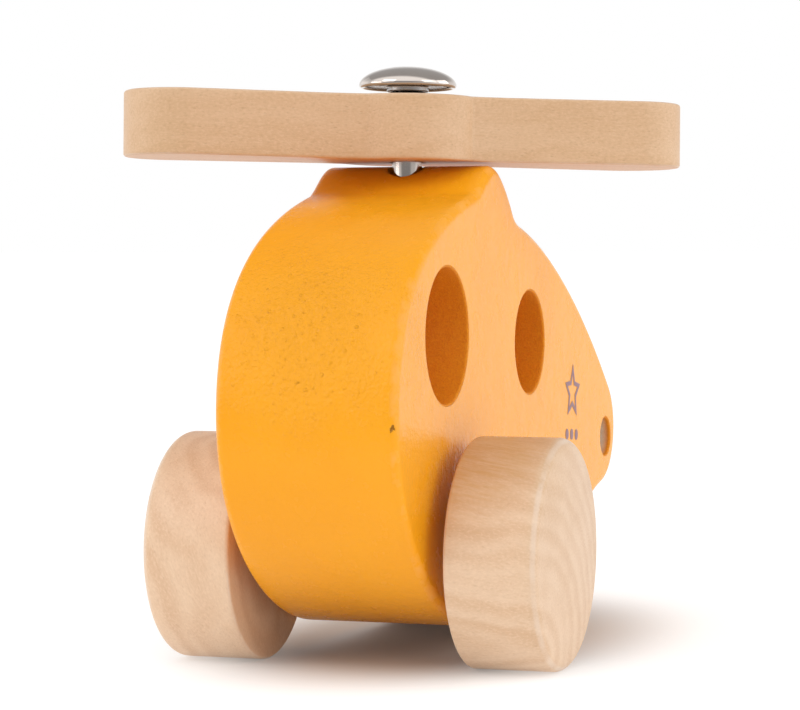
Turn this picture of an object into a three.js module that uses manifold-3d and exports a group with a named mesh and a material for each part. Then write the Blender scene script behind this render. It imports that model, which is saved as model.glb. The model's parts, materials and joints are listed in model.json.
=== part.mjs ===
// Wooden toy helicopter for a toddler: a thick painted slab with two round windows, a wooden
// rotor on a steel pin under a domed cap, and two plain wooden wheels on one dowel axle.
//
// Millimetres, +X forward, +Y to the toy's left, +Z up. The slab and the wheels are drawn in the
// toy's own frame, whose origin is the centre of the axle. The rotor and what holds it are drawn
// on the mast, whose origin is on the rotor pin, level with the top of the boss, and whose Z axis
// runs up the pin. The whole toy leans back on the heel of its belly, as it stands on a table.

import * as THREE from 'three';
import { mergeVertices } from 'three/addons/utils/BufferGeometryUtils.js';
import Module from 'manifold-3d';

// ---- Driving dimensions ------------------------------------------------------------------

// Fuselage slab
const SLAB_WIDTH = 28.8;
const SLAB_EDGE = 1.5; // rounding of every long edge
const BOSS_TOP = { x: -14.5, z: 61.6 };
const BOSS_FRONT_FOOT = { x: -4.5, z: 56.1 };
const BOSS_BACK_FOOT = { x: -25.3, z: 55.6 };
const BACK_SHOULDER = { x: -30.9, z: 53.3 };
const NOSE_TIP = { x: 32.2, z: 22.2 };
const BELLY_START = { x: -8.5, z: -12.0 };
const BELLY_SLOPE = 0.04; // fall of the belly per millimetre towards the heel
const HEEL_X = -52;
const HEEL_RADIUS = 9;
const HEEL_END = 215; // angle on the heel's circle where the sweep up to the tail begins
const TAIL_END = { x: -83, z: 20.4, radius: 10.2, top: 125, bottom: 255 };

// Round holes through the slab, from flank to flank
const FRONT_WINDOW = { x: 8.5, z: 33.2, radius: 10.5 };
const REAR_WINDOW = { x: -36.2, z: 34.2, radius: 8.5 };
const TAIL_HOLE = { x: -86.2, z: 19.1, radius: 3.35 };

// Wheels and axle
const WHEEL_RADIUS = 18;
const WHEEL_INNER = 17.3; // distance of the inner face from the toy's middle plane
const WHEEL_OUTER = 32.7; // the same, to the crown of the outer face
const WHEEL_CROWN = 0.8; // how far the outer face bulges
const WHEEL_OUTER_EDGE = 1.8;
const WHEEL_INNER_EDGE = 0.6;
const WHEEL_SOCKET_DEPTH = 10;
const AXLE_RADIUS = 3;
const AXLE_CHAMFER = 0.8;
const AXLE_PLAY = 0.7; // the axle runs loose in the slab
const WASHER_RADIUS = 6;

// Mast: the line of the rotor pin. Heights below are measured up it from the mast's origin.
const MAST = { x: -12.8, z: BOSS_TOP.z };
const MAST_RAKE = THREE.MathUtils.degToRad(2.4); // forward of the toy's own Z axis

// Rotor
const ROTOR_YAW = THREE.MathUtils.degToRad(124.6); // where the blades happen to stand
const ROTOR_BOTTOM = 0.5;
const ROTOR_THICKNESS = 10.4;
const ROTOR_HALF_LENGTH = 46.3;
const ROTOR_HUB_RADIUS = 11.7;
const ROTOR_BORE_RADIUS = 3;
const ROTOR_EDGE = 0.45;
const BLADE_ROOT = { along: 16.3, half: 7.4 }; // where a blade's straight side begins
const BLADE_WAIST = { along: 11.7, half: 7.2 }; // pull of the hollow between hub and blade
const HUB_LEAVES = 7.8; // distance from the long axis at which the hub's circle ends
const BLADE_TIP = { half: 9.0, radius: 8.6 };

// Rotor pin, with shallow ridges where it is driven into the slab
const PIN_RADIUS = 2.5;
const PIN_FOOT = -21.6;
const PIN_HEAD = 14.4;
const PIN_FOOT_CHAMFER = 0.8;
const PIN_HEAD_CHAMFER = 0.4;
const PIN_RIDGES = { count: 5, pitch: 2.4, height: 0.25, start: 1.5, rise: 1.44, end: 1.68 };
const PIN_HOLE_SPARE = 2; // depth of the hole beyond the pin's foot

// Domed cap, pressed on the head of the pin, and the push-on washer that grips inside it
const CAP_RADIUS = 7.9;
const CAP_RIM = 12.6;
const CAP_TOP = 16;
const CAP_WALL = 0.8;
const CAP_LIP = 0.1; // half the height by which the rim's inner edge stands back
const CAP_SHOULDER = { inset: 0.8, height: 1.4 };
const INSERT_RADIUS = 6.4;
const INSERT_NECK = { radius: 3.4, bottom: 11.9 };
const INSERT_PLATE = { bottom: 0.2, top: 0.9, chamfer: 0.6 }; // heights above the cap's rim

// Air left between pieces that touch or are pressed together
const GAP = 0.3;

// ---- Materials ---------------------------------------------------------------------------

const PAINT = { color: 0xf7a233, roughness: 0.4, metalness: 0 };
const WHEEL_WOOD = { color: 0xe3bf98, roughness: 0.62, metalness: 0 };
const ROTOR_WOOD = { color: 0xdcb48b, roughness: 0.62, metalness: 0 };
const DOWEL_WOOD = { color: 0xd9b98f, roughness: 0.7, metalness: 0 };
const BRIGHT_STEEL = { color: 0xc9c9cb, roughness: 0.12, metalness: 1 };
const SPRING_STEEL = { color: 0xb9b9bc, roughness: 0.25, metalness: 1 };
const NYLON = { color: 0xe9e6df, roughness: 0.5, metalness: 0 };

// ---- Geometry helpers --------------------------------------------------------------------

const wasm = await Module();
wasm.setup();

const FULL_TURN = 48;

/** The point at `degrees` on a circle. */
function onCircle(circle, degrees) {
	const angle = THREE.MathUtils.degToRad(degrees);
	return {
		x: circle.x + circle.radius * Math.cos(angle),
		z: circle.z + circle.radius * Math.sin(angle),
	};
}

/** Turns a closed three.js geometry into a manifold solid. */
function toSolid(geometry) {
	const bare = geometry.clone();
	bare.deleteAttribute('normal');
	bare.deleteAttribute('uv');
	const merged = mergeVertices(bare, 1e-4);
	return new wasm.Manifold(new wasm.Mesh({
		numProp: 3,
		vertProperties: new Float32Array(merged.attributes.position.array),
		triVerts: new Uint32Array(merged.index.array),
	}));
}

/** Turns a manifold solid back into a three.js geometry. */
function toGeometry(solid) {
	const { vertProperties, triVerts } = solid.getMesh();
	const geometry = new THREE.BufferGeometry();
	geometry.setAttribute('position', new THREE.BufferAttribute(vertProperties, 3));
	geometry.setIndex(new THREE.BufferAttribute(triVerts, 1));
	const faceted = geometry.toNonIndexed();
	faceted.computeVertexNormals();
	return faceted;
}

/** Cuts every tool out of a geometry. */
function cut(geometry, tools) {
	let solid = toSolid(geometry);
	for (const tool of tools) {
		solid = solid.subtract(toSolid(tool));
	}
	return toGeometry(solid);
}

/** Extrudes an outline with rounded edges, centred on its middle plane. */
function roundedSlab(outline, thickness, edge, curveSegments) {
	const slab = new THREE.ExtrudeGeometry(outline, {
		depth: thickness - 2 * edge,
		bevelSize: edge,
		bevelThickness: edge,
		bevelOffset: -edge,
		bevelSegments: 2,
		curveSegments,
	});
	slab.translate(0, 0, edge - thickness / 2);
	return slab;
}

/** Revolves [radius, height] points about the local Y axis. */
function revolve(points, segments = FULL_TURN) {
	return new THREE.LatheGeometry(points.map(([r, h]) => new THREE.Vector2(r, h)), segments);
}

/** [radius, height] points of a quarter arc, from one angle to another. */
function arcPoints(radius, height, bend, from, to, steps) {
	const points = [];
	for (let i = 0; i <= steps; i += 1) {
		const angle = THREE.MathUtils.degToRad(from + (to - from) * i / steps);
		points.push([radius + bend * Math.cos(angle), height + bend * Math.sin(angle)]);
	}
	return points;
}

/** A cutter that runs across the slab, along Y. */
function crossCutter({ x, z, radius }) {
	const cutter = new THREE.CylinderGeometry(radius, radius, 2 * SLAB_WIDTH, FULL_TURN);
	cutter.translate(x, 0, z);
	return cutter;
}

// ---- Fuselage ----------------------------------------------------------------------------

const HEEL = {
	x: HEEL_X,
	z: BELLY_START.z + BELLY_SLOPE * (HEEL_X - BELLY_START.x) + HEEL_RADIUS,
	radius: HEEL_RADIUS,
};

/** The side view of the slab, in X and Z. */
function slabOutline() {
	const bellyAngle = 270 - THREE.MathUtils.radToDeg(Math.atan(BELLY_SLOPE));
	const heelTop = onCircle(HEEL, HEEL_END);
	const tailTop = onCircle(TAIL_END, TAIL_END.top);
	const tailBottom = onCircle(TAIL_END, TAIL_END.bottom);
	const rad = THREE.MathUtils.degToRad;

	const outline = new THREE.Shape();
	outline.moveTo(BOSS_TOP.x, BOSS_TOP.z);
	// Front of the boss, easing into the brow
	outline.bezierCurveTo(-10.9, BOSS_TOP.z, -7.5, 56.9, BOSS_FRONT_FOOT.x, BOSS_FRONT_FOOT.z);
	// Brow and nose
	outline.bezierCurveTo(13.9, 51.0, NOSE_TIP.x, NOSE_TIP.z + 20, NOSE_TIP.x, NOSE_TIP.z);
	// Chin
	outline.bezierCurveTo(
		NOSE_TIP.x, NOSE_TIP.z - 21,
		BELLY_START.x + 19, BELLY_START.z + 19 * BELLY_SLOPE,
		BELLY_START.x, BELLY_START.z,
	);
	// Flat belly and rounded heel
	outline.absarc(HEEL.x, HEEL.z, HEEL.radius, rad(bellyAngle), rad(HEEL_END), true);
	// Hollow sweep up to the tail
	outline.bezierCurveTo(
		heelTop.x - 7.5, heelTop.z + 10.6,
		tailBottom.x + 14.5, tailBottom.z - 3.9,
		tailBottom.x, tailBottom.z,
	);
	outline.absarc(
		TAIL_END.x, TAIL_END.z, TAIL_END.radius, rad(TAIL_END.bottom), rad(TAIL_END.top), true,
	);
	// Back, from the tail up to the notch behind the boss, and the back of the boss
	outline.bezierCurveTo(
		tailTop.x + 22.1, tailTop.z + 15.5,
		-45.3, 51.4,
		BACK_SHOULDER.x, BACK_SHOULDER.z,
	);
	outline.bezierCurveTo(-28.6, 53.6, -26.6, 54.2, BOSS_BACK_FOOT.x, BOSS_BACK_FOOT.z);
	outline.bezierCurveTo(-23.3, 57.5, -18.5, BOSS_TOP.z, BOSS_TOP.x, BOSS_TOP.z);
	return outline;
}

function fuselageGeometry() {
	const slab = roundedSlab(slabOutline(), SLAB_WIDTH, SLAB_EDGE, 12);
	slab.rotateX(Math.PI / 2);

	const pinHoleRadius = PIN_RADIUS + PIN_RIDGES.height + GAP;
	const pinHoleFloor = PIN_FOOT - PIN_HOLE_SPARE;
	const pinHole = new THREE.CylinderGeometry(
		pinHoleRadius, pinHoleRadius, ROTOR_THICKNESS - pinHoleFloor, FULL_TURN / 2,
	);
	pinHole.rotateX(Math.PI / 2);
	pinHole.translate(0, 0, (ROTOR_THICKNESS + pinHoleFloor) / 2);
	pinHole.rotateY(MAST_RAKE);
	pinHole.translate(MAST.x, 0, MAST.z);

	const axleHole = { x: 0, z: 0, radius: AXLE_RADIUS + AXLE_PLAY };
	const holes = [FRONT_WINDOW, REAR_WINDOW, TAIL_HOLE, axleHole].map(crossCutter);
	return cut(slab, [...holes, pinHole]);
}

// ---- Rotor -------------------------------------------------------------------------------

/** Plan view of the two-bladed rotor, long axis along local X. */
function rotorOutline() {
	const hubLeaves = Math.asin(HUB_LEAVES / ROTOR_HUB_RADIUS);
	const tipX = ROTOR_HALF_LENGTH - BLADE_TIP.radius;
	const tipY = BLADE_TIP.half - BLADE_TIP.radius;
	const outline = new THREE.Shape();
	for (const turn of [0, Math.PI]) {
		const place = (x, y) => [
			x * Math.cos(turn) - y * Math.sin(turn),
			x * Math.sin(turn) + y * Math.cos(turn),
		];
		const blade = (sign) => ({
			hub: [ROTOR_HUB_RADIUS * Math.cos(hubLeaves), sign * ROTOR_HUB_RADIUS * Math.sin(hubLeaves)],
			waist: [BLADE_WAIST.along, sign * BLADE_WAIST.half],
			root: [BLADE_ROOT.along, sign * BLADE_ROOT.half],
			tip: [tipX, sign * BLADE_TIP.half],
		});
		const right = blade(-1);
		const left = blade(1);
		const start = place(...right.hub);
		if (turn === 0) {
			outline.moveTo(...start);
		}
		outline.quadraticCurveTo(...place(...right.waist), ...place(...right.root));
		outline.lineTo(...place(...right.tip));
		outline.absarc(...place(tipX, -tipY), BLADE_TIP.radius, turn - Math.PI / 2, turn, false);
		outline.absarc(...place(tipX, tipY), BLADE_TIP.radius, turn, turn + Math.PI / 2, false);
		outline.lineTo(...place(...left.root));
		outline.quadraticCurveTo(...place(...left.waist), ...place(...left.hub));
		outline.absarc(0, 0, ROTOR_HUB_RADIUS, turn + hubLeaves, turn + Math.PI - hubLeaves, false);
	}
	return outline;
}

function rotorGeometry() {
	const slab = roundedSlab(rotorOutline(), ROTOR_THICKNESS, ROTOR_EDGE, 7);
	const bore = new THREE.CylinderGeometry(
		ROTOR_BORE_RADIUS, ROTOR_BORE_RADIUS, 2 * ROTOR_THICKNESS, FULL_TURN / 2,
	);
	bore.rotateX(Math.PI / 2);
	return cut(slab, [bore]);
}

// ---- Rotor pin, cap and retaining insert ---------------------------------------------------

function pinGeometry() {
	const points = [[0, PIN_FOOT], [PIN_RADIUS - PIN_FOOT_CHAMFER, PIN_FOOT]];
	points.push([PIN_RADIUS, PIN_FOOT + PIN_FOOT_CHAMFER]);
	for (let i = 0; i < PIN_RIDGES.count; i += 1) {
		const start = PIN_FOOT + PIN_RIDGES.start + i * PIN_RIDGES.pitch;
		points.push([PIN_RADIUS, start]);
		points.push([PIN_RADIUS + PIN_RIDGES.height, start + PIN_RIDGES.rise]);
		points.push([PIN_RADIUS, start + PIN_RIDGES.end]);
	}
	points.push([PIN_RADIUS, PIN_HEAD - PIN_HEAD_CHAMFER]);
	points.push([PIN_RADIUS - PIN_HEAD_CHAMFER, PIN_HEAD], [0, PIN_HEAD]);
	return revolve(points, 24);
}

/** Height of the cap's outer dome at a radius: a shallow half ellipse. */
function domeHeight(radius) {
	const share = radius / CAP_RADIUS;
	return CAP_RIM + (CAP_TOP - CAP_RIM) * Math.sqrt(1 - share * share);
}

function capGeometry() {
	const hollowRadius = CAP_RADIUS - CAP_WALL;
	const points = [[0, PIN_HEAD + GAP]];
	points.push([PIN_RADIUS + GAP, PIN_HEAD + GAP]);
	points.push([hollowRadius - CAP_SHOULDER.inset, CAP_RIM + CAP_SHOULDER.height]);
	points.push([hollowRadius, CAP_RIM + CAP_LIP], [CAP_RADIUS - CAP_WALL / 2, CAP_RIM - CAP_LIP]);
	for (const share of [1, 0.985, 0.94, 0.86, 0.74, 0.58, 0.4, 0.2, 0]) {
		points.push([share * CAP_RADIUS, domeHeight(share * CAP_RADIUS)]);
	}
	return revolve(points, 40);
}

/** Flat push-on washer inside the cap, with a short neck round the pin. */
function insertGeometry() {
	const bore = PIN_RADIUS + GAP;
	const plateBottom = CAP_RIM + INSERT_PLATE.bottom;
	const plateTop = CAP_RIM + INSERT_PLATE.top;
	return revolve([
		[bore, INSERT_NECK.bottom],
		[INSERT_NECK.radius, INSERT_NECK.bottom],
		[INSERT_NECK.radius, plateBottom],
		[INSERT_RADIUS, plateBottom],
		[INSERT_RADIUS - INSERT_PLATE.chamfer, plateTop],
		[bore, plateTop],
		[bore, INSERT_NECK.bottom],
	], 36);
}

// ---- Wheels, axle and spacers --------------------------------------------------------------

/** One wheel, its axis along Y, drawn where the left wheel stands. */
function wheelGeometry() {
	const socket = AXLE_RADIUS + GAP;
	const innerEdge = WHEEL_INNER_EDGE;
	const outerEdge = WHEEL_OUTER_EDGE;
	const faceRadius = WHEEL_RADIUS - outerEdge;
	const face = WHEEL_OUTER - WHEEL_CROWN;
	const points = [[0, WHEEL_INNER + WHEEL_SOCKET_DEPTH]];
	points.push([socket, WHEEL_INNER + WHEEL_SOCKET_DEPTH], [socket, WHEEL_INNER]);
	points.push(...arcPoints(WHEEL_RADIUS - innerEdge, WHEEL_INNER + innerEdge, innerEdge, -90, 0, 2));
	points.push(...arcPoints(faceRadius, face - outerEdge, outerEdge, 0, 82, 4));
	for (const share of [0.75, 0.5, 0.25, 0]) {
		points.push([share * faceRadius, face + WHEEL_CROWN * (1 - share * share)]);
	}
	return revolve(points);
}

function axleGeometry() {
	const end = WHEEL_INNER + WHEEL_SOCKET_DEPTH - GAP;
	const half = [
		[AXLE_RADIUS, end - AXLE_CHAMFER], [AXLE_RADIUS - AXLE_CHAMFER, end], [0, end],
	];
	const otherHalf = half.map(([r, h]) => [r, -h]).reverse();
	return revolve([...otherHalf, ...half], FULL_TURN / 2);
}

/** Plain spacer that keeps the left wheel off the flank. */
function washerGeometry() {
	const inner = SLAB_WIDTH / 2 + GAP;
	const outer = WHEEL_INNER - GAP;
	const bore = AXLE_RADIUS + GAP;
	return revolve([
		[bore, inner], [WASHER_RADIUS, inner], [WASHER_RADIUS, outer], [bore, outer], [bore, inner],
	], 32);
}

// ---- Assembly ------------------------------------------------------------------------------

function makeMesh(name, geometry, finish) {
	const mesh = new THREE.Mesh(geometry, new THREE.MeshStandardMaterial(finish));
	mesh.name = name;
	return mesh;
}

/** A lathed piece of the mast: its own Y axis is laid along the mast's Z. */
function makeTurned(name, geometry, finish) {
	const mesh = makeMesh(name, geometry, finish);
	mesh.rotation.x = Math.PI / 2;
	return mesh;
}

const rotor = makeMesh('rotor', rotorGeometry(), ROTOR_WOOD);
rotor.position.z = ROTOR_BOTTOM + ROTOR_THICKNESS / 2;
rotor.rotation.z = ROTOR_YAW;

const mast = new THREE.Group();
mast.position.set(MAST.x, 0, MAST.z);
mast.rotation.y = MAST_RAKE;
mast.add(
	makeTurned('rotor_pin', pinGeometry(), BRIGHT_STEEL),
	makeTurned('rotor_cap', capGeometry(), BRIGHT_STEEL),
	makeTurned('cap_insert', insertGeometry(), SPRING_STEEL),
	rotor,
);

const wheelset = new THREE.Group();
wheelset.add(makeMesh('axle', axleGeometry(), DOWEL_WOOD));
for (const [side, turn] of [['left', 0], ['right', Math.PI]]) {
	const wheel = makeMesh(`wheel_${side}`, wheelGeometry(), WHEEL_WOOD);
	const washer = makeMesh(`axle_washer_${side}`, washerGeometry(), NYLON);
	wheel.rotation.x = turn;
	washer.rotation.x = turn;
	wheelset.add(wheel, washer);
}

/** Nose-up tilt that brings the heel of the belly down to the level the wheels stand on. */
function standingLean() {
	const reach = Math.hypot(HEEL.x, HEEL.z);
	const slant = Math.atan2(-HEEL.z, -HEEL.x);
	return Math.asin((WHEEL_RADIUS - HEEL.radius) / reach) - slant;
}

const toy = new THREE.Group();
toy.add(makeMesh('body', fuselageGeometry(), PAINT), mast, wheelset);
toy.rotation.y = -standingLean();

// The part's origin is on the table, under the middle of the standing toy.
const helicopter = new THREE.Group();
helicopter.add(toy);
helicopter.updateMatrixWorld(true);
const extent = new THREE.Box3().setFromObject(helicopter, true);
toy.position.set(-(extent.min.x + extent.max.x) / 2, -(extent.min.y + extent.max.y) / 2, -extent.min.z);

export default helicopter;
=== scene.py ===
import json
import math

import bmesh
import bpy
from mathutils import Matrix, Vector
from mathutils.geometry import delaunay_2d_cdt


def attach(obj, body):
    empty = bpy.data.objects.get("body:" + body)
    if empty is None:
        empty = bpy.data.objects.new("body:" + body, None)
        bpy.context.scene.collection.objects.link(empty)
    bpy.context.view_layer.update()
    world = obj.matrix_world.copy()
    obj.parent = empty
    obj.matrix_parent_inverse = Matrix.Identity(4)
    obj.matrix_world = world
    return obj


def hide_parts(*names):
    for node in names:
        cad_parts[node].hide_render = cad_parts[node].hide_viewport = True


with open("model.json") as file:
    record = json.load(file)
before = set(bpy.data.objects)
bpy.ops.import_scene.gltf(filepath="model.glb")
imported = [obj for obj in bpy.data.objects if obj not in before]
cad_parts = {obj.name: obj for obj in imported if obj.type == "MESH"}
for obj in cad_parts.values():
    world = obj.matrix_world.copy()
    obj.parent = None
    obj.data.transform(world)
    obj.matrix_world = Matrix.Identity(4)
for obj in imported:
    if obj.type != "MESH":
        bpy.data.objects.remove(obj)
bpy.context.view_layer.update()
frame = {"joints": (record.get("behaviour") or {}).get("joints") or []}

MM = 0.001
QUARTER = math.pi / 2

# ---- Driving dimensions, in millimetres ------------------------------------------------------
# The slab and the wheels are drawn in the toy's own frame: origin on the axle's centre, X
# forward, Y to the left. The rotor and what holds it are drawn on the mast, whose Z axis is the
# rotor pin's.

SLAB_WIDTH = 28.8
SLAB_EDGE = 1.5
BOSS_TOP = (-14.5, 61.6)
BOSS_FRONT_FOOT = (-4.5, 56.1)
BOSS_BACK_FOOT = (-25.3, 55.6)
BACK_SHOULDER = (-30.9, 53.3)
NOSE_TIP = (32.2, 22.2)
BELLY_START = (-8.5, -12.0)
BELLY_SLOPE = 0.04
HEEL_RADIUS = 9.0
HEEL = (-52.0, BELLY_START[1] + BELLY_SLOPE * (-52.0 - BELLY_START[0]) + HEEL_RADIUS)
HEEL_END = 215
TAIL_END = (-83.0, 20.4, 10.2)
TAIL_TOP_ANGLE = 125
TAIL_BOTTOM_ANGLE = 255

FRONT_WINDOW = (8.5, 33.2, 10.5)
REAR_WINDOW = (-36.2, 34.2, 8.5)
TAIL_HOLE = (-86.2, 19.1, 3.35)
AXLE_HOLE = (0.0, 0.0, 3.7)
HOLE_RIM = 0.4

WHEEL_RADIUS = 18.0
WHEEL_INNER = 17.3
WHEEL_OUTER = 32.7
WHEEL_CROWN = 0.8
WHEEL_OUTER_EDGE = 1.8
WHEEL_INNER_EDGE = 0.6
WHEEL_SOCKET_DEPTH = 10.0
AXLE_RADIUS = 3.0
AXLE_CHAMFER = 0.8
WASHER_RADIUS = 6.0

MAST_FOOT = (-12.8, 0.0, 61.6)
MAST_RAKE = math.radians(2.4)
ROTOR_YAW = math.radians(124.6)
ROTOR_BOTTOM = 0.5
ROTOR_THICKNESS = 10.4
ROTOR_HALF_LENGTH = 46.3
ROTOR_HUB_RADIUS = 11.7
ROTOR_BORE_RADIUS = 3.0
ROTOR_EDGE = 0.45
BLADE_ROOT = (16.3, 7.4)
BLADE_WAIST = (11.7, 7.2)
HUB_LEAVES = 7.8
BLADE_TIP_HALF = 9.0
BLADE_TIP_RADIUS = 8.6

PIN_RADIUS = 2.5
PIN_WAIST = 2.2
PIN_HOLE_RADIUS = 3.05
PIN_FOOT = -21.6
PIN_HEAD = 14.4
PIN_CHAMFER = 0.8
PIN_RIDGES = 5
PIN_RIDGE_PITCH = 2.4
PIN_RIDGE_HEIGHT = 0.25
CAP_RADIUS = 7.9
CAP_RIM = 12.6
CAP_TOP = 16.0
CAP_WALL = 0.8
CAP_LIP = 0.42
INSERT_RADIUS = 6.4
INSERT_NECK_RADIUS = 3.4
INSERT_NECK_BOTTOM = 11.9

STAR_CENTRE = (-63.2, 26.5)
STAR_OUTER = (5.0, 2.4)
STAR_INNER = (3.3, 1.5)
DOT_RADIUS = 0.95
DOT_SPACING = 3.0
DOT_DROP = 7.4
INK_LIFT = 0.02
INK_THICKNESS = 0.03

GAP = 0.3
FLAT_TRIANGLE = 2.4

# ---- Where the toy and its mast stand in the part's frame ------------------------------------

def moved(x=0.0, y=0.0, z=0.0):
    return Matrix.Translation((x, y, z))


def standing_lean():
    """Nose-up tilt that brings the heel of the belly down to the level the wheels stand on."""
    reach = math.hypot(*HEEL)
    return math.asin((WHEEL_RADIUS - HEEL_RADIUS) / reach) - math.atan2(-HEEL[1], -HEEL[0])


joints = {joint["name"]: joint for joint in frame["joints"]}
axle_centre = Vector(joints["wheel_spin"]["pos_m"]) / MM
TOY = Matrix.Translation(axle_centre) @ Matrix.Rotation(-standing_lean(), 4, "Y")
MAST = TOY @ moved(*MAST_FOOT) @ Matrix.Rotation(MAST_RAKE, 4, "Y")

# ---- Curves ----------------------------------------------------------------------------------

def arc(cx, cy, radius, start, end, steps):
    """Points on a circle from one angle to another, in degrees, both ends included."""
    points = []
    for i in range(steps + 1):
        a = math.radians(start + (end - start) * i / steps)
        points.append((cx + radius * math.cos(a), cy + radius * math.sin(a)))
    return points


def bezier(p0, p1, p2, p3, steps=40):
    """Points on a cubic Bezier curve, both ends included."""
    points = []
    for i in range(steps + 1):
        t = i / steps
        s = 1 - t
        weights = (s * s * s, 3 * s * s * t, 3 * s * t * t, t * t * t)
        points.append(tuple(
            sum(w * p[axis] for w, p in zip(weights, (p0, p1, p2, p3))) for axis in (0, 1)
        ))
    return points


def quadratic(p0, p1, p2, steps=12):
    """Points on a quadratic Bezier curve, both ends included."""
    def two_thirds(a, b):
        return tuple(a[k] + (b[k] - a[k]) * 2 / 3 for k in (0, 1))

    return bezier(p0, two_thirds(p0, p1), two_thirds(p2, p1), p2, steps)


def joined(*stretches):
    """One closed outline from stretches that meet end to end, without doubled points."""
    points = []
    for stretch in stretches:
        for p in stretch:
            if not points or math.dist(p, points[-1]) > 1e-4:
                points.append(p)
    if math.dist(points[0], points[-1]) < 1e-4:
        points.pop()
    return points


def evened(points, spacing):
    """The same closed outline with its points at an even spacing."""
    loop = points + [points[0]]
    lengths = [0.0]
    for a, b in zip(loop, loop[1:]):
        lengths.append(lengths[-1] + math.dist(a, b))
    count = round(lengths[-1] / spacing)
    result = []
    k = 0
    for i in range(count):
        target = lengths[-1] * i / count
        while lengths[k + 1] < target:
            k += 1
        t = (target - lengths[k]) / (lengths[k + 1] - lengths[k])
        result.append(tuple(loop[k][c] + (loop[k + 1][c] - loop[k][c]) * t for c in (0, 1)))
    return result


def outward(points, hole):
    """Unit normals of a counter-clockwise loop that point out of the material."""
    normals = []
    for i, p in enumerate(points):
        a = points[i - 1]
        b = points[(i + 1) % len(points)]
        tx, ty = b[0] - a[0], b[1] - a[1]
        length = math.hypot(tx, ty)
        sign = -1 if hole else 1
        normals.append((sign * ty / length, -sign * tx / length))
    return normals


def slab_outline():
    """Side view of the fuselage slab."""
    belly_angle = 270 - math.degrees(math.atan(BELLY_SLOPE))
    heel = arc(*HEEL, HEEL_RADIUS, belly_angle, HEEL_END, 24)
    tail = arc(*TAIL_END, TAIL_BOTTOM_ANGLE, TAIL_TOP_ANGLE, 48)
    heel_top = heel[-1]
    tail_bottom = tail[0]
    tail_top = tail[-1]
    outline = joined(
        bezier(BOSS_TOP, (-10.9, BOSS_TOP[1]), (-7.5, 56.9), BOSS_FRONT_FOOT),
        bezier(BOSS_FRONT_FOOT, (13.9, 51.0), (NOSE_TIP[0], NOSE_TIP[1] + 20), NOSE_TIP, 90),
        bezier(
            NOSE_TIP, (NOSE_TIP[0], NOSE_TIP[1] - 21),
            (BELLY_START[0] + 19, BELLY_START[1] + 19 * BELLY_SLOPE), BELLY_START, 90,
        ),
        heel,
        bezier(
            heel_top, (heel_top[0] - 7.5, heel_top[1] + 10.6),
            (tail_bottom[0] + 14.5, tail_bottom[1] - 3.9), tail_bottom, 60,
        ),
        tail,
        bezier(
            tail_top, (tail_top[0] + 22.1, tail_top[1] + 15.5), (-45.3, 51.4), BACK_SHOULDER, 90,
        ),
        bezier(BACK_SHOULDER, (-28.6, 53.6), (-26.6, 54.2), BOSS_BACK_FOOT),
        bezier(BOSS_BACK_FOOT, (-23.3, 57.5), (-18.5, BOSS_TOP[1]), BOSS_TOP),
    )
    outline.reverse()
    return evened(outline, 0.6)


def rotor_outline():
    """Plan view of the rotor, long axis along X."""
    leaves = math.degrees(math.asin(HUB_LEAVES / ROTOR_HUB_RADIUS))
    tip_x = ROTOR_HALF_LENGTH - BLADE_TIP_RADIUS
    tip_y = BLADE_TIP_HALF - BLADE_TIP_RADIUS
    hub = arc(0, 0, ROTOR_HUB_RADIUS, leaves, 180 - leaves, 40)
    hollow = quadratic(hub[0], BLADE_WAIST, BLADE_ROOT)
    half = joined(
        [(x, -y) for x, y in hollow],
        arc(tip_x, -tip_y, BLADE_TIP_RADIUS, -90, 0, 32),
        arc(tip_x, tip_y, BLADE_TIP_RADIUS, 0, 90, 32),
        reversed(hollow),
        hub[:-1],
    )
    return evened(half + [(-x, -y) for x, y in half], 0.5)


# ---- Meshes ----------------------------------------------------------------------------------

def new_object(name, bm):
    """A smooth-shaded object from a bmesh, still in millimetres and in its own frame."""
    bmesh.ops.recalc_face_normals(bm, faces=bm.faces)
    mesh = bpy.data.meshes.new(name)
    bm.to_mesh(mesh)
    bm.free()
    mesh.shade_smooth()
    obj = bpy.data.objects.new(name, mesh)
    bpy.context.scene.collection.objects.link(obj)
    return obj


def settle(obj, place):
    """Keeps the mesh's own coordinates for its materials, then moves it to its place."""
    mesh = obj.data
    coordinates = [0.0] * (3 * len(mesh.vertices))
    mesh.vertices.foreach_get("co", coordinates)
    own = mesh.attributes.new("own", "FLOAT_VECTOR", "POINT")
    own.data.foreach_set("vector", coordinates)
    mesh.transform(Matrix.Scale(MM, 4) @ place)


def layers(bm):
    """The surface facts that the materials read: edge, bore and bare, each from 0 to 1."""
    return {name: bm.verts.layers.float.new(name) for name in ("edge", "bore", "bare")}


def smoothstep(low, high, x):
    t = min(1.0, max(0.0, (x - low) / (high - low)))
    return t * t * (3 - 2 * t)


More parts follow.
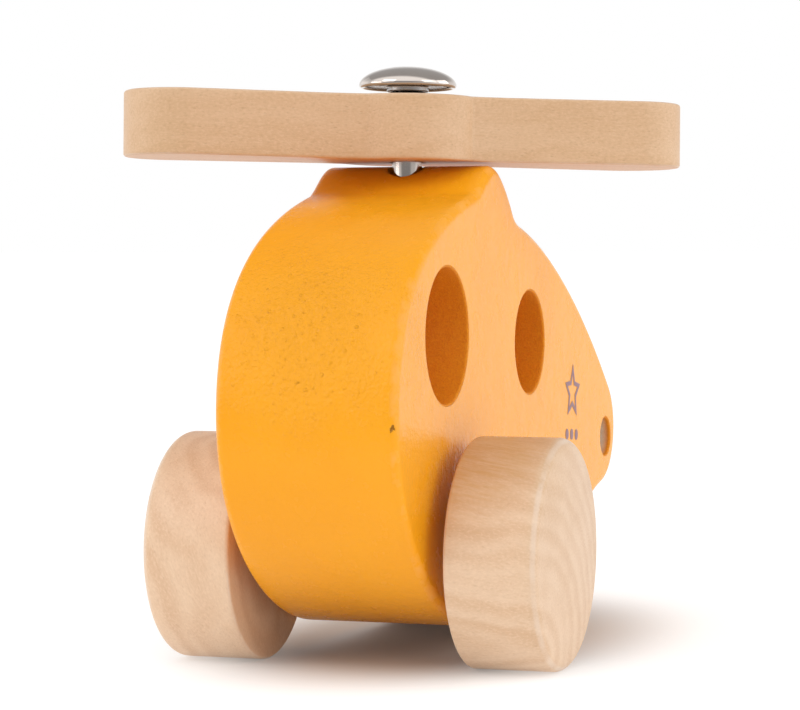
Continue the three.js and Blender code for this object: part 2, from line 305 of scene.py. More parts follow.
def wall(bm, facts, loop, hole, thickness, edge, across, bare=False):
    """The wall round one loop, rounded over at both flats. Returns its two outermost rings."""
    half = thickness / 2
    bend = 8
    sections = [(edge + 0.5, half, 0.0)]
    for i in range(bend + 1):
        a = QUARTER * i / bend
        inset = edge * (1 - math.sin(a))
        sections.append((inset, half - edge + edge * math.cos(a), math.sin(2 * a)))
    straight = thickness - 2 * edge
    steps = [half - edge - straight * i / across for i in range(1, across)]
    lower = [(inset, -height, bent) for inset, height, bent in reversed(sections)]
    sections += [(0.0, height, 0.0) for height in steps] + lower
    normals = outward(loop, hole)
    rings = []
    for inset, height, bent in sections:
        ring = []
        for p, n in zip(loop, normals):
            vert = bm.verts.new((p[0] - n[0] * inset, p[1] - n[1] * inset, height))
            vert[facts["edge"]] = 0.0 if hole else bent
            vert[facts["bore"]] = 1.0 if hole and inset < edge else 0.0
            vert[facts["bare"]] = smoothstep(0.5, 1.3, half - abs(height)) if bare else 0.0
            ring.append(vert)
        rings.append(ring)
    count = len(loop)
    for upper, lower in zip(rings, rings[1:]):
        for i in range(count):
            k = (i + 1) % count
            bm.faces.new((upper[i], lower[i], lower[k], upper[k]))
    return rings[0], rings[-1]


def inside(x, y, loop):
    """Whether a point lies inside a closed loop of points."""
    hit = False
    for (ax, ay), (bx, by) in zip(loop, loop[1:] + loop[:1]):
        if (ay > y) != (by > y) and x < ax + (y - ay) * (bx - ax) / (by - ay):
            hit = not hit
    return hit


def fill_flat(bm, loops, spacing):
    """Fills the flat between an outer loop and its holes with even triangles."""
    height = loops[0][0].co.z
    borders = [[(vert.co.x, vert.co.y) for vert in loop] for loop in loops]
    verts = [vert for loop in loops for vert in loop]
    points = [Vector(p) for border in borders for p in border]
    edges = []
    start = 0
    for loop in loops:
        count = len(loop)
        edges += [(start + i, start + (i + 1) % count) for i in range(count)]
        start += count

    def on_material(x, y):
        return inside(x, y, borders[0]) and not any(inside(x, y, hole) for hole in borders[1:])

    low = [min(p[c] for p in borders[0]) for c in (0, 1)]
    high = [max(p[c] for p in borders[0]) for c in (0, 1)]
    rows = round((high[1] - low[1]) / (spacing * 0.87))
    columns = round((high[0] - low[0]) / spacing)
    clear = (0.6 * spacing) ** 2
    for row in range(rows + 1):
        y = low[1] + row * spacing * 0.87
        for column in range(columns + 1):
            x = low[0] + (column + row % 2 / 2) * spacing
            near = any((x - p.x) ** 2 + (y - p.y) ** 2 < clear for p in points[:start])
            if not near and on_material(x, y):
                points.append(Vector((x, y)))
    whole_hull = 0
    found, _, faces, origins, _, _ = delaunay_2d_cdt(points, edges, [], whole_hull, 1e-5)
    corners = {}
    for face in faces:
        middle = sum((found[i] for i in face), Vector((0, 0))) / 3
        if not on_material(middle.x, middle.y):
            continue
        for i in face:
            if i not in corners:
                known = [k for k in origins[i] if k < start]
                corners[i] = verts[known[0]] if known else bm.verts.new((*found[i], height))
        bm.faces.new([corners[i] for i in face])


def slab(outline, holes, thickness, edge, across):
    """A flat slab with rounded edges and round holes; each hole is x, y, radius, rim, bare."""
    bm = bmesh.new()
    facts = layers(bm)
    walls = [wall(bm, facts, outline, False, thickness, edge, across)]
    for x, y, radius, rim, bare in holes:
        ring = arc(x, y, radius, 0, 360, 96)[:-1]
        walls.append(wall(bm, facts, ring, True, thickness, rim, across, bare))
    for side in (0, 1):
        fill_flat(bm, [rings[side] for rings in walls], FLAT_TRIANGLE)
    return bm


def lathe(profile, segments=128):
    """Revolves (radius, height, edge) points about Z; the profile starts and ends on the axis,
    or closes on itself."""
    bm = bmesh.new()
    facts = layers(bm)
    closed = profile[0][0] > 0
    if closed:
        profile = profile[:-1]
    rings = []
    for radius, height, bent in profile:
        count = segments if radius > 0 else 1
        ring = []
        for i in range(count):
            a = 2 * math.pi * i / segments
            vert = bm.verts.new((radius * math.cos(a), radius * math.sin(a), height))
            vert[facts["edge"]] = bent
            ring.append(vert)
        rings.append(ring)
    pairs = list(zip(rings, rings[1:])) + ([(rings[-1], rings[0])] if closed else [])
    for a, b in pairs:
        for i in range(segments):
            k = (i + 1) % segments
            corners = [a[i % len(a)], b[i % len(b)], b[k % len(b)], a[k % len(a)]]
            corners = [c for n, c in enumerate(corners) if c not in corners[:n]]
            bm.faces.new(corners)
    return bm


def rounded(r, h, bend, start, end, steps=6):
    """A quarter arc in a lathe profile, marked as an edge."""
    points = arc(r, h, bend, start, end, steps)
    return [(p[0], p[1], math.sin(math.pi * i / steps)) for i, p in enumerate(points)]


def flat(*points):
    """Plain stretches of a lathe profile."""
    return [(r, h, 0.0) for r, h in points]


# ---- Materials -------------------------------------------------------------------------------

ORANGE = (0.95, 0.385, 0.008)
DEEP_ORANGE = (0.88, 0.315, 0.004)
TIMBER = (0.86, 0.70, 0.54)
# Darker, warmer tone of the painted shade and orange bounce light on the left wheel's tread top.
BOUNCE_SHADE_TONE = (0.60, 0.34, 0.13)

# Places on the slab, in the toy's own frame.
CHIP = (31.7, 13.7, 18.6)
NOSE_PATCH = (30.0, 0.0, 33.0)


class Nodes:
    """A material's node tree, with short calls for the nodes that this scene uses."""

    def __init__(self, name):
        self.material = bpy.data.materials.new(name)
        self.material.use_nodes = True
        self.tree = self.material.node_tree
        self.shader = self.tree.nodes["Principled BSDF"]

    def node(self, kind, inputs=None, **settings):
        node = self.tree.nodes.new(kind)
        for key, value in settings.items():
            setattr(node, key, value)
        for key, value in (inputs or {}).items():
            self.put(node.inputs[key], value)
        return node

    def put(self, socket, value):
        if isinstance(value, bpy.types.NodeSocket):
            self.tree.links.new(value, socket)
        else:
            socket.default_value = value

    def place(self, scale=(1, 1, 1), shift=(0, 0, 0), turn=(0, 0, 0)):
        """The piece's own coordinates in millimetres, stretched, turned and shifted."""
        own = self.node("ShaderNodeAttribute", attribute_name="own").outputs["Vector"]
        return self.node("ShaderNodeMapping", {
            "Vector": own, "Scale": scale, "Location": shift, "Rotation": turn,
        }).outputs["Vector"]

    def noise(self, vector, scale, detail=3.0, rough=0.5):
        return self.node("ShaderNodeTexNoise", {
            "Vector": vector, "Scale": scale, "Detail": detail, "Roughness": rough,
        }).outputs["Fac"]

    def spots(self, vector, scale):
        """Distance to the nearest of scattered points."""
        return self.node("ShaderNodeTexVoronoi", {
            "Vector": vector, "Scale": scale,
        }).outputs["Distance"]

    def distance(self, vector, point):
        """How far `vector` is from a fixed point."""
        node = self.node("ShaderNodeVectorMath", {0: vector, 1: point}, operation="DISTANCE")
        return node.outputs["Value"]

    def math(self, operation, a, b=0.0, c=0.0):
        node = self.node("ShaderNodeMath", operation=operation)
        for socket, value in zip(node.inputs, (a, b, c)):
            self.put(socket, value)
        return node.outputs[0]

    def span(self, value, low, high, to_low=0.0, to_high=1.0):
        """Maps low..high to to_low..to_high, smoothly and clamped."""
        return self.node("ShaderNodeMapRange", {
            "Value": value, "From Min": low, "From Max": high,
            "To Min": to_low, "To Max": to_high,
        }, interpolation_type="SMOOTHSTEP").outputs["Result"]

    def mix(self, share, a, b):
        node = self.node("ShaderNodeMix", data_type="RGBA")
        self.put(node.inputs["Factor"], share)
        for key, value in (("A", a), ("B", b)):
            socket = [s for s in node.inputs if s.name == key and s.type == "RGBA"][0]
            self.put(socket, (*value, 1.0) if isinstance(value, tuple) else value)
        return [s for s in node.outputs if s.type == "RGBA"][0]

    def fact(self, name):
        return self.node("ShaderNodeAttribute", attribute_name=name).outputs["Fac"]

    def bump(self, *heights):
        """Chains bumps; each height is (value, depth in metres)."""
        normal = None
        for height, depth in heights:
            inputs = {"Height": height, "Distance": depth, "Strength": 1.0}
            if normal is not None:
                inputs["Normal"] = normal
            normal = self.node("ShaderNodeBump", inputs).outputs["Normal"]
        self.put(self.shader.inputs["Normal"], normal)

    def finish(self, **sockets):
        for name, value in sockets.items():
            label = "IOR" if name == "ior" else name.replace("_", " ").title()
            socket = self.shader.inputs[label]
            self.put(socket, (*value, 1.0) if isinstance(value, tuple) else value)
        return self.material


def growth_rings(m, log, spacing, sway):
    """Growth rings round the X axis of `log`, each with its own strength: 0 in the early wood,
    rising to the late wood and falling at once. `sway` bends them, in millimetres."""
    parts = m.node("ShaderNodeSeparateXYZ", {"Vector": log})
    y = parts.outputs["Y"]
    z = parts.outputs["Z"]
    radius = m.math("SQRT", m.math("MULTIPLY_ADD", y, y, m.math("MULTIPLY", z, z)))
    radius = m.math("MULTIPLY_ADD", m.noise(log, 0.06, 2.0), sway, radius)
    count = m.math("DIVIDE", radius, spacing)
    phase = m.math("FRACT", count)
    strength = m.node(
        "ShaderNodeTexWhiteNoise", {"W": m.math("FLOOR", count)}, noise_dimensions="1D",
    )
    line = m.math("MULTIPLY", m.span(phase, 0.0, 0.6), m.span(phase, 0.62, 1.0, 1.0, 0.0))
    return m.math("MULTIPLY", line, m.span(strength.outputs["Value"], 0.0, 1.0, 0.3, 1.0))


def bare_wood(name, pale, dark, turn, shift, spacing, sway, figure, speckle=0.14,
              roughness=0.42, bounce_shade=None):
    """Sanded bare hardwood. The piece is turned and shifted so that the log's axis is X;
    `figure` is how strongly the growth rings show, `speckle` the fine dark flecks, and the
    last argument, when given, is the middle of a patch of painted shade and orange bounce light."""
    m = Nodes(name)
    log = m.place(turn=turn, shift=shift)
    along = m.node("ShaderNodeMapping", {"Vector": log, "Scale": (0.12, 1, 1)}).outputs["Vector"]
    short = m.node("ShaderNodeMapping", {"Vector": log, "Scale": (0.45, 1, 1)}).outputs["Vector"]
    late = growth_rings(m, log, spacing, sway)
    cloud = m.noise(along, 0.14, 3.0, 0.55)
    fibre = m.noise(along, 1.6, 4.0, 0.65)
    speck = m.noise(short, 3.4, 2.0, 0.6)
    dots = m.span(m.spots(short, 1.1), 0.05, 0.2, 1.0, 0.0)

    lift = tuple(min(1.0, 0.06 + c * 1.06) for c in pale)
    deep = tuple(c * 0.74 for c in dark)
    colour = m.mix(m.math("MULTIPLY", late, figure), pale, dark)
    colour = m.mix(m.span(cloud, 0.4, 0.7, 0.0, 0.35), colour, dark)
    colour = m.mix(m.span(fibre, 0.5, 0.75, 0.0, 0.3), colour, dark)
    colour = m.mix(m.span(speck, 0.5, 0.34, 0.0, 0.3), colour, lift)
    colour = m.mix(m.span(speck, 0.54, 0.72, 0.0, speckle), colour, deep)
    colour = m.mix(m.math("MULTIPLY", dots, speckle), colour, deep)
    # Painted shade and orange bounce light: round the given point, along the fibres, the wood is
    # mixed towards a darker, warmer tone.
    if bounce_shade:
        off = m.math("MULTIPLY_ADD", m.noise(along, 0.3, 2.0), 7.0, m.distance(m.place(), bounce_shade))
        streaks = m.span(fibre, 0.35, 0.65, 0.45, 1.0)
        share = m.math("MULTIPLY", m.span(off, 8.0, 24.0, 0.85, 0.0), streaks)
        colour = m.mix(share, colour, BOUNCE_SHADE_TONE)
    # Along rounded edges the wood is mixed towards white: partly wear, partly a painted highlight
    # on the arris.
    broken = m.span(m.noise(log, 0.25, 3.0), 0.3, 0.6, 0.2, 1.0)
    worn_and_highlit = m.math("MULTIPLY", m.span(m.fact("edge"), 0.72, 1.0), broken)
    white = tuple(0.3 + c * 0.66 for c in pale)
    colour = m.mix(m.math("MULTIPLY", worn_and_highlit, 0.4), colour, white)

    gloss = m.math("MULTIPLY_ADD", speck, 0.16, roughness - 0.08)
    gloss = m.math("MULTIPLY_ADD", worn_and_highlit, -0.08, gloss)
    m.bump((fibre, 0.00003), (speck, 0.00005), (dots, -0.00003))
    return m.finish(base_color=colour, roughness=gloss)


def painted_wood(name, orange, deep, timber, chip, patch):
    """Satin lacquer over sanded hardwood whose grain runs fore and aft. It has one small chip,
    and it is roughest round the middle of `patch`."""
    m = Nodes(name)
    own = m.place()
    grain = m.place(scale=(0.16, 1, 1))
    bore = m.fact("bore")
    edge = m.fact("edge")
    cloud = m.noise(own, 0.05, 3.0)
    fibre = m.noise(grain, 1.1, 4.0, 0.65)
    pores = m.span(m.spots(grain, 0.8), 0.03, 0.16, 1.0, 0.0)
    nibs = m.span(m.spots(own, 0.75), 0.08, 0.3, 1.0, 0.0)
    peel = m.noise(own, 1.5, 3.0, 0.6)
    away = m.math("MULTIPLY_ADD", m.noise(own, 0.12, 2.0), 14.0, m.distance(own, patch))
    skin = m.span(away, 12.0, 30.0, 1.0, 0.12)
    grit = m.noise(own, 3.2, 4.0, 0.7)

    colour = m.mix(m.span(cloud, 0.35, 0.7, 0.0, 0.3), orange, deep)
    colour = m.mix(m.math("MULTIPLY", pores, 0.2), colour, deep)
    # Painted shade inside the holes: their walls are mixed towards a darker, redder orange, broken
    # up by the rough end grain.
    bore_shade_and_grain = tuple(c * k for c, k in zip(deep, (0.84, 0.64, 0.1)))
    colour = m.mix(m.math("MULTIPLY", bore, m.span(grit, 0.3, 0.75, 0.35, 1.0)), colour, bore_shade_and_grain)
    lumpy = m.noise(own, 0.3, 4.0, 0.6)
    # Along the rounded outer edges the paint is mixed towards pale orange: partly rubbed lacquer,
    # partly a painted highlight on the arris.
    rubbed_and_highlit = m.math("MULTIPLY", m.span(edge, 0.3, 1.0), m.span(lumpy, 0.42, 0.66))
    pale = tuple(min(1.0, 0.22 + c * 0.8) for c in orange)
    colour = m.mix(m.math("MULTIPLY", rubbed_and_highlit, 0.22), colour, pale)
    ragged = m.math("MULTIPLY_ADD", m.noise(own, 2.2, 3.0), 1.6, m.distance(own, chip))
    chipped = m.span(ragged, 1.0, 1.25, 1.0, 0.0)
    colour = m.mix(chipped, colour, tuple(c * 0.4 for c in deep))
    under = m.math("MULTIPLY", m.fact("bare"), m.span(grit, 0.2, 0.5, 0.7, 1.0))
    colour = m.mix(under, colour, timber)

    gloss = m.math("MULTIPLY_ADD", m.noise(own, 0.3, 3.0), 0.12, 0.2)
    gloss = m.math("MULTIPLY_ADD", bore, 0.4, gloss)
    rubbed_gloss = m.math("MULTIPLY_ADD", rubbed_and_highlit, 0.12, gloss)
    m.bump(
        (fibre, 0.00004), (m.math("MULTIPLY", pores, skin), -0.0001),
        (m.math("MULTIPLY", nibs, skin), 0.00012), (m.math("MULTIPLY", peel, skin), 0.0005),
        (lumpy, 0.00014), (m.math("MULTIPLY", bore, grit), 0.0002), (chipped, -0.00025),
    )
    return m.finish(base_color=colour, roughness=rubbed_gloss, ior=1.35)


def polished_metal(name, tone, roughness, scratch):
    """Plated steel with faint wiping marks and a few smudges."""
    m = Nodes(name)
    own = m.place()
    round_marks = m.noise(m.place(scale=(0.25, 0.25, 3.0)), 3.0, 3.0, 0.6)
    smudge = m.noise(own, 0.35, 3.0, 0.55)
    colour = m.mix(m.span(smudge, 0.4, 0.7, 0.0, 0.25), tone, tuple(c * 0.82 for c in tone))
    gloss = m.math("MULTIPLY_ADD", m.span(smudge, 0.4, 0.75), 0.08, roughness)
    gloss = m.math("MULTIPLY_ADD", round_marks, 0.04, gloss)
    m.bump((round_marks, scratch))
    return m.finish(base_color=colour, roughness=gloss, metallic=1.0)


def moulded_nylon(name, tone):
    m = Nodes(name)
    own = m.place()
    mottle = m.noise(own, 0.9, 3.0)
    colour = m.mix(m.span(mottle, 0.35, 0.7, 0.0, 0.3), tone, tuple(c * 0.86 for c in tone))
    gloss = m.math("MULTIPLY_ADD", mottle, 0.15, 0.4)
    m.bump((m.noise(own, 6.0, 2.0), 0.00002))
    return m.finish(base_color=colour, roughness=gloss)


def printed_ink(name, tone):
    m = Nodes(name)
    own = m.place()
    gaps = m.noise(own, 4.0, 3.0, 0.7)
    colour = m.mix(m.span(gaps, 0.45, 0.75, 0.0, 0.5), tone, tuple(c * 1.5 for c in tone))
    m.bump((gaps, 0.00001))
    return m.finish(base_color=colour, roughness=m.math("MULTIPLY_ADD", gaps, 0.2, 0.35))


paint = painted_wood("painted_wood", ORANGE, DEEP_ORANGE, TIMBER, CHIP, NOSE_PATCH)
rotor_wood = bare_wood(
    "rotor_wood", (0.71, 0.46, 0.27), (0.60, 0.35, 0.17),
    turn=(0, 0, 0), shift=(0, 30, 62), spacing=3.4, sway=9, figure=0.3, speckle=0.24,
)
left_wheel_wood = bare_wood(
    "wheel_wood_left", (0.75, 0.53, 0.355), (0.61, 0.37, 0.20),
    turn=(0.14, 1.36, 0), shift=(-34.6, -13.2, 8.0), spacing=3.6, sway=6, figure=0.5,
    # Painted shade and orange bounce light from the flank, on the top of the tread next to the
    # body.
    bounce_shade=(9, -15.5, 17.3),
)
right_wheel_wood = bare_wood(
    "wheel_wood_right", (0.77, 0.545, 0.365), (0.60, 0.35, 0.19),
    turn=(0, 0.74, -1.14), shift=(-21.6, 11.1, -6.3), spacing=3.6, sway=7, figure=0.42,
)
dowel_wood = bare_wood(
    "dowel_wood", (0.74, 0.52, 0.31), (0.6, 0.38, 0.2),
    turn=(0, QUARTER, 0), shift=(0, 40, 12), spacing=2.6, sway=4, figure=0.4, roughness=0.6,
)
chrome = polished_metal("bright_steel", (0.62, 0.555, 0.51), 0.06, 0.000004)
spring_steel = polished_metal("spring_steel", (0.5, 0.49, 0.49), 0.2, 0.00001)
nylon = moulded_nylon("nylon", (0.8, 0.77, 0.7))
ink = printed_ink("printed_ink", (0.26, 0.13, 0.16))


def finish_piece(obj, place, material, body, node=None):
    """Puts a finished mesh in its place, with its material, its body and the node it shows."""
    settle(obj, place)
    obj.data.materials.clear()
    obj.data.materials.append(material)
    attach(obj, body)
    if node:
        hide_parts(node)
    return obj


# ---- Fuselage --------------------------------------------------------------------------------

def subtract(obj, cutter):
    """Cuts one object out of another and keeps the result as a plain mesh."""
    modifier = obj.modifiers.new("cut", "BOOLEAN")
    modifier.operation = "DIFFERENCE"
    modifier.solver = "EXACT"
    modifier.object = cutter
    depsgraph = bpy.context.evaluated_depsgraph_get()
    result = bpy.data.meshes.new_from_object(obj.evaluated_get(depsgraph))
    obj.modifiers.clear()
    old = obj.data
    name = old.name
    obj.data = result
    bpy.data.meshes.remove(old)
    result.name = name
    bpy.data.objects.remove(cutter)


def make_body():
    holes = [
        (*FRONT_WINDOW, HOLE_RIM, False), (*REAR_WINDOW, HOLE_RIM, False),
        (*TAIL_HOLE, HOLE_RIM, True), (*AXLE_HOLE, HOLE_RIM, True),
    ]
    bm = slab(slab_outline(), holes, SLAB_WIDTH, SLAB_EDGE, 24)
    bm.transform(Matrix.Rotation(QUARTER, 4, "X"))
    obj = new_object("painted_body", bm)
    floor = PIN_FOOT - 2
    above = ROTOR_THICKNESS
    hole = lathe(
        flat((0, floor), (PIN_HOLE_RADIUS, floor), (PIN_HOLE_RADIUS, above), (0, above)), 64,
    )
    hole.transform(TOY.inverted() @ MAST)
    subtract(obj, new_object("pin_hole", hole))
    return finish_piece(obj, TOY, paint, "fuselage", "body")


def make_print():
    """A plain star over three dots, printed on the left flank."""
    height = SLAB_WIDTH / 2 + INK_LIFT
    cx, cz = STAR_CENTRE
    bm = bmesh.new()

    def star(point_radius, notch_radius):
        ring = []
        for i in range(10):
            radius = point_radius if i % 2 == 0 else notch_radius
            a = math.radians(90 + 36 * i)
            place = (cx - radius * math.cos(a), height, cz + radius * math.sin(a))
            ring.append(bm.verts.new(place))
        return ring

    outer = star(*STAR_OUTER)
    inner = star(*STAR_INNER)
    for i in range(10):
        k = (i + 1) % 10
        bm.faces.new((outer[i], outer[k], inner[k], inner[i]))
    for x in (-DOT_SPACING, 0.0, DOT_SPACING):
        dot = arc(cx + x, cz - DOT_DROP, DOT_RADIUS, 0, 360, 24)[:-1]
        bm.faces.new([bm.verts.new((px, height, pz)) for px, pz in dot])
    body = bmesh.ops.extrude_face_region(bm, geom=bm.faces[:])
    lifted = [e for e in body["geom"] if isinstance(e, bmesh.types.BMVert)]
    bmesh.ops.translate(bm, verts=lifted, vec=(0, INK_THICKNESS, 0))
    obj = new_object("printed_star", bm)
    obj.data.shade_flat()
    return finish_piece(obj, TOY, ink, "fuselage")


# ---- Rotor, pin and cap ----------------------------------------------------------------------

def make_rotor():
    bore = (0, 0, ROTOR_BORE_RADIUS, 0.3, False)
    bm = slab(rotor_outline(), [bore], ROTOR_THICKNESS, ROTOR_EDGE, 12)
    middle = moved(z=ROTOR_BOTTOM + ROTOR_THICKNESS / 2)
    place = MAST @ middle @ Matrix.Rotation(ROTOR_YAW, 4, "Z")
    return finish_piece(
        new_object("wooden_rotor", bm), place, rotor_wood, "rotor", "rotor",
    )


def make_pin():
    foot = PIN_FOOT + PIN_CHAMFER
    profile = flat((0, PIN_FOOT), (PIN_RADIUS - PIN_CHAMFER, PIN_FOOT), (PIN_RADIUS, foot))
    for i in range(PIN_RIDGES):
        start = PIN_FOOT + 1.5 + PIN_RIDGE_PITCH * i
        profile += flat(
            (PIN_RADIUS, start),
            (PIN_RADIUS + PIN_RIDGE_HEIGHT, start + 0.6 * PIN_RIDGE_PITCH),
            (PIN_RADIUS, start + 0.7 * PIN_RIDGE_PITCH),
        )
    profile += flat((PIN_RADIUS, -6), (PIN_WAIST, -3.2), (PIN_RADIUS, 0.4))
    profile += flat((PIN_RADIUS, PIN_HEAD - 0.4), (PIN_RADIUS - 0.4, PIN_HEAD), (0, PIN_HEAD))
    obj = new_object("rotor_pin_shank", lathe(profile, 64))
    return finish_piece(obj, MAST, chrome, "fuselage", "rotor_pin")


def make_cap():
    hollow = CAP_RADIUS - CAP_WALL
    profile = flat(
        (0, PIN_HEAD + GAP), (PIN_RADIUS + GAP, PIN_HEAD + GAP), (hollow - 0.8, CAP_RIM + 1.4),
        (hollow, CAP_RIM + 0.3),
    )
    profile += rounded(CAP_RADIUS - CAP_LIP, CAP_RIM + 0.3, CAP_LIP, 180, 360, 12)
    rise = CAP_TOP - CAP_RIM - 0.3
    for i in range(1, 41):
        a = QUARTER * i / 40
        radius = CAP_RADIUS * math.cos(a) if i < 40 else 0.0
        profile.append((radius, CAP_RIM + 0.3 + rise * math.sin(a), 0.0))
    obj = new_object("domed_cap", lathe(profile, 160))
    return finish_piece(obj, MAST, chrome, "fuselage", "rotor_cap")


def make_insert():
    bore = PIN_RADIUS + GAP
    profile = rounded(bore + 0.2, INSERT_NECK_BOTTOM + 0.2, 0.2, 180, 270, 4)
    profile += rounded(INSERT_NECK_RADIUS - 0.2, INSERT_NECK_BOTTOM + 0.2, 0.2, 270, 360, 4)
    profile += rounded(INSERT_NECK_RADIUS + 0.3, CAP_RIM - 0.1, 0.3, 180, 90, 5)
    profile += flat(
        (INSERT_RADIUS, CAP_RIM + 0.2), (INSERT_RADIUS - 0.6, CAP_RIM + 0.9), (bore, CAP_RIM + 0.9),
    )
    profile.append(profile[0])
    obj = new_object("cap_push_washer", lathe(profile, 96))
    return finish_piece(obj, MAST, spring_steel, "fuselage", "cap_insert")


# ---- Wheels, axle and spacers ----------------------------------------------------------------

def make_wheel(side, turn, material):
    socket = AXLE_RADIUS + GAP
    floor = WHEEL_INNER + WHEEL_SOCKET_DEPTH
    face = WHEEL_OUTER - WHEEL_CROWN
    face_radius = WHEEL_RADIUS - WHEEL_OUTER_EDGE
    profile = flat((0, floor), (socket, floor), (socket, WHEEL_INNER))
    profile += flat(*[(r, WHEEL_INNER) for r in (6, 9, 12, 15)])
    profile += rounded(WHEEL_RADIUS - WHEEL_INNER_EDGE, WHEEL_INNER + WHEEL_INNER_EDGE,
                       WHEEL_INNER_EDGE, -90, 0)
    tread = face - WHEEL_OUTER_EDGE - WHEEL_INNER - WHEEL_INNER_EDGE
    profile += flat(*[
        (WHEEL_RADIUS, WHEEL_INNER + WHEEL_INNER_EDGE + tread * i / 8) for i in range(1, 8)
    ])
    profile += rounded(face_radius, face - WHEEL_OUTER_EDGE, WHEEL_OUTER_EDGE, 0, 84, 10)
    for i in range(1, 17):
        share = 1 - i / 16
        profile.append((share * face_radius * 0.99, face + WHEEL_CROWN * (1 - share * share), 0.0))
    place = TOY @ Matrix.Rotation(turn, 4, "X")
    obj = new_object(f"wooden_wheel_{side}", lathe(profile, 192))
    return finish_piece(obj, place, material, "wheelset", f"wheel_{side}")


def make_axle():
    end = WHEEL_INNER + WHEEL_SOCKET_DEPTH - GAP
    shoulder = end - AXLE_CHAMFER
    profile = flat((0, -end), (AXLE_RADIUS - AXLE_CHAMFER, -end), (AXLE_RADIUS, -shoulder))
    profile += flat(*[(AXLE_RADIUS, 4.0 * i) for i in range(-6, 7)])
    profile += flat((AXLE_RADIUS, shoulder), (AXLE_RADIUS - AXLE_CHAMFER, end), (0, end))
    obj = new_object("axle_dowel", lathe(profile, 64))
    place = TOY @ Matrix.Rotation(QUARTER, 4, "X")
    return finish_piece(obj, place, dowel_wood, "wheelset", "axle")


def make_washer(side, turn):
    low = SLAB_WIDTH / 2 + GAP
    high = WHEEL_INNER - GAP
    bore = AXLE_RADIUS + GAP
    bend = 0.3
    profile = flat((bore, low), (WASHER_RADIUS - bend, low))
    profile += rounded(WASHER_RADIUS - bend, low + bend, bend, -90, 0)[1:]
    profile += rounded(WASHER_RADIUS - bend, high - bend, bend, 0, 90)
    profile += flat((bore, high), (bore, low))
    obj = new_object(f"spacer_{side}", lathe(profile, 96))
    place = TOY @ Matrix.Rotation(turn, 4, "X")
    return finish_piece(obj, place, nylon, "wheelset", f"axle_washer_{side}")


make_body()
make_print()
make_rotor()
make_pin()
make_cap()
make_insert()
make_axle()
make_wheel("left", -QUARTER, left_wheel_wood)
make_wheel("right", QUARTER, right_wheel_wood)
make_washer("left", -QUARTER)
make_washer("right", QUARTER)

# ---- Floor, light and camera -----------------------------------------------------------------

FLOOR_REACH = 6000
SOFTBOX_DISTANCE = 1.3
CAMERA_PLACE = (475.0, 156.2, 69.2)
CAMERA_TARGET = (0.0, -6.3, 47.0)
CAMERA_ROLL = math.radians(-0.3)


def make_floor():
    """A white sheet on a light table: it glows more away from the toy, and less in front of it."""
    m = Nodes("pale_floor")
    place = m.place()
    grain = m.noise(place, 0.02, 3.0)
    oval = m.place(scale=(0.85, 1.35, 1))
    distance = m.distance(oval, (0, 0, 0))
    ahead = m.node("ShaderNodeSeparateXYZ", {"Vector": place}).outputs["X"]
    far = m.span(distance, 50, 300)
    colour = m.mix(m.span(grain, 0.3, 0.7, 0.0, 0.3), (0.5, 0.5, 0.5), (0.47, 0.47, 0.47))
    colour = m.mix(far, colour, (0.0, 0.0, 0.0))
    glow = m.math("MULTIPLY_ADD", far, 0.4, m.span(distance, 26, 62, 0.03, 0.62))
    glow = m.math("MULTIPLY", glow, m.span(ahead, 120, 300, 1.0, 0.4))
    material = m.finish(
        base_color=colour, roughness=0.8, emission_color=(1.0, 1.0, 1.0), emission_strength=glow,
    )
    bm = bmesh.new()
    r = FLOOR_REACH
    corners = ((-r, -r), (r, -r), (r, r), (-r, r))
    bm.faces.new([bm.verts.new((x, y, 0)) for x, y in corners])
    floor = new_object("floor", bm)
    settle(floor, Matrix.Identity(4))
    floor.data.materials.append(material)


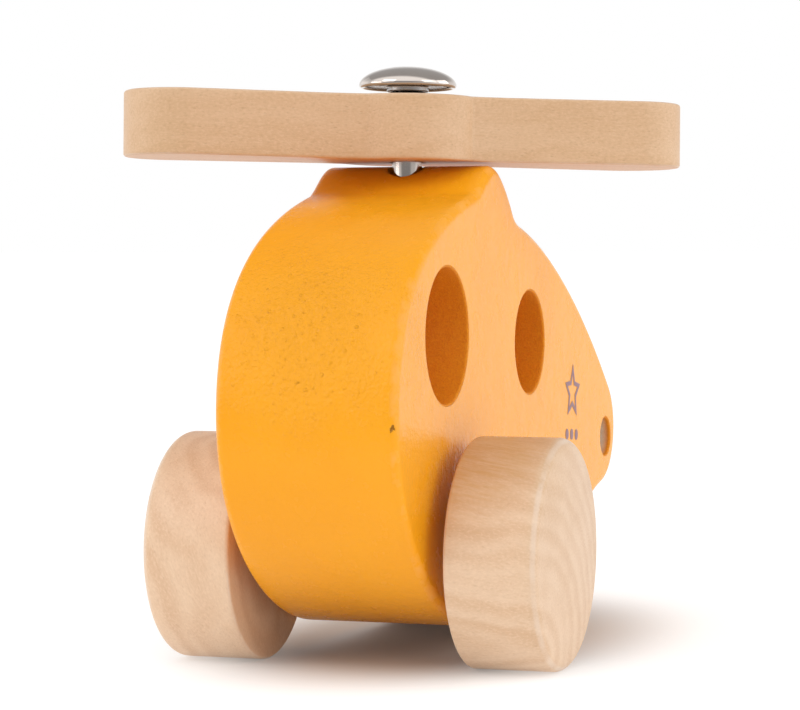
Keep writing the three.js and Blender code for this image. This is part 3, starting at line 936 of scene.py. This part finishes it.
def make_world():
    """A white studio: bright behind the toy, and dim low down in front of it."""
    world = bpy.data.worlds.new("studio")
    bpy.context.scene.world = world
    world.use_nodes = True
    tree = world.node_tree
    background = tree.nodes["Background"]
    background.inputs["Color"].default_value = (1.0, 1.0, 1.0, 1.0)
    coordinates = tree.nodes.new("ShaderNodeTexCoord")
    parts = tree.nodes.new("ShaderNodeSeparateXYZ")
    tree.links.new(coordinates.outputs["Generated"], parts.inputs["Vector"])

    def fade(part, start, end):
        """From 0 to 1 as one part of the direction goes from `start` to `end`."""
        node = tree.nodes.new("ShaderNodeMapRange")
        node.interpolation_type = "SMOOTHSTEP"
        node.inputs["From Min"].default_value = start
        node.inputs["From Max"].default_value = end
        tree.links.new(parts.outputs[part], node.inputs["Value"])
        return node.outputs["Result"]

    def blend(share, first, second):
        node = tree.nodes.new("ShaderNodeMix")
        tree.links.new(share, node.inputs["Factor"])
        for key, value in (("A", first), ("B", second)):
            if isinstance(value, float):
                node.inputs[key].default_value = value
            else:
                tree.links.new(value, node.inputs[key])
        return node.outputs["Result"]

    front = fade("X", -0.1, 0.3)
    right = fade("Y", -0.3, -0.65)
    left = fade("Y", 0.6, 0.85)
    ahead = blend(left, blend(right, 0.3, 0.85), 0.65)
    low = blend(front, 1.0, ahead)
    high = blend(front, 0.46, 1.3)
    tree.links.new(blend(fade("Z", 0.15, 0.55), low, high), background.inputs["Strength"])


def make_softbox(name, azimuth, elevation, size, radiance):
    """A rectangular area light aimed at the toy; azimuth is from +X towards +Y."""
    data = bpy.data.lights.new(name, "AREA")
    data.shape = "RECTANGLE"
    data.size, data.size_y = size
    data.energy = radiance * math.pi * size[0] * size[1]
    light = bpy.data.objects.new(name, data)
    bpy.context.scene.collection.objects.link(light)
    a, e = math.radians(azimuth), math.radians(elevation)
    away = Vector((math.cos(a) * math.cos(e), math.sin(a) * math.cos(e), math.sin(e)))
    light.location = Vector((0, 0, 0.05)) + away * SOFTBOX_DISTANCE
    light.rotation_mode = "QUATERNION"
    light.rotation_quaternion = (-away).to_track_quat("-Z", "Y")


def make_camera():
    """A long lens low in front of the toy, a little to its left."""
    data = bpy.data.cameras.new("camera")
    data.sensor_width = 36.0
    data.lens = 135.0
    data.clip_start = 0.01
    data.clip_end = 50.0
    camera = bpy.data.objects.new("camera", data)
    bpy.context.scene.collection.objects.link(camera)
    location = Vector(CAMERA_PLACE) * MM
    look = (Vector(CAMERA_TARGET) * MM - location).to_track_quat("-Z", "Y")
    roll = Matrix.Rotation(CAMERA_ROLL, 4, "Z").to_quaternion()
    camera.location = location
    camera.rotation_mode = "QUATERNION"
    camera.rotation_quaternion = look @ roll
    bpy.context.scene.camera = camera


make_floor()
make_world()
make_softbox("key_softbox", -30, 32, (0.65, 0.5), 2.1)
make_softbox("side_softbox", -62, 10, (0.7, 0.4), 1.5)
make_softbox("left_softbox", 75, 25, (0.8, 0.7), 1.1)
make_softbox("left_rim_softbox", 115, 20, (0.8, 0.7), 1.36)
make_softbox("right_rim_softbox", -110, 20, (0.8, 0.7), 0.25)
make_camera()
bpy.context.scene.view_settings.view_transform = "Standard"
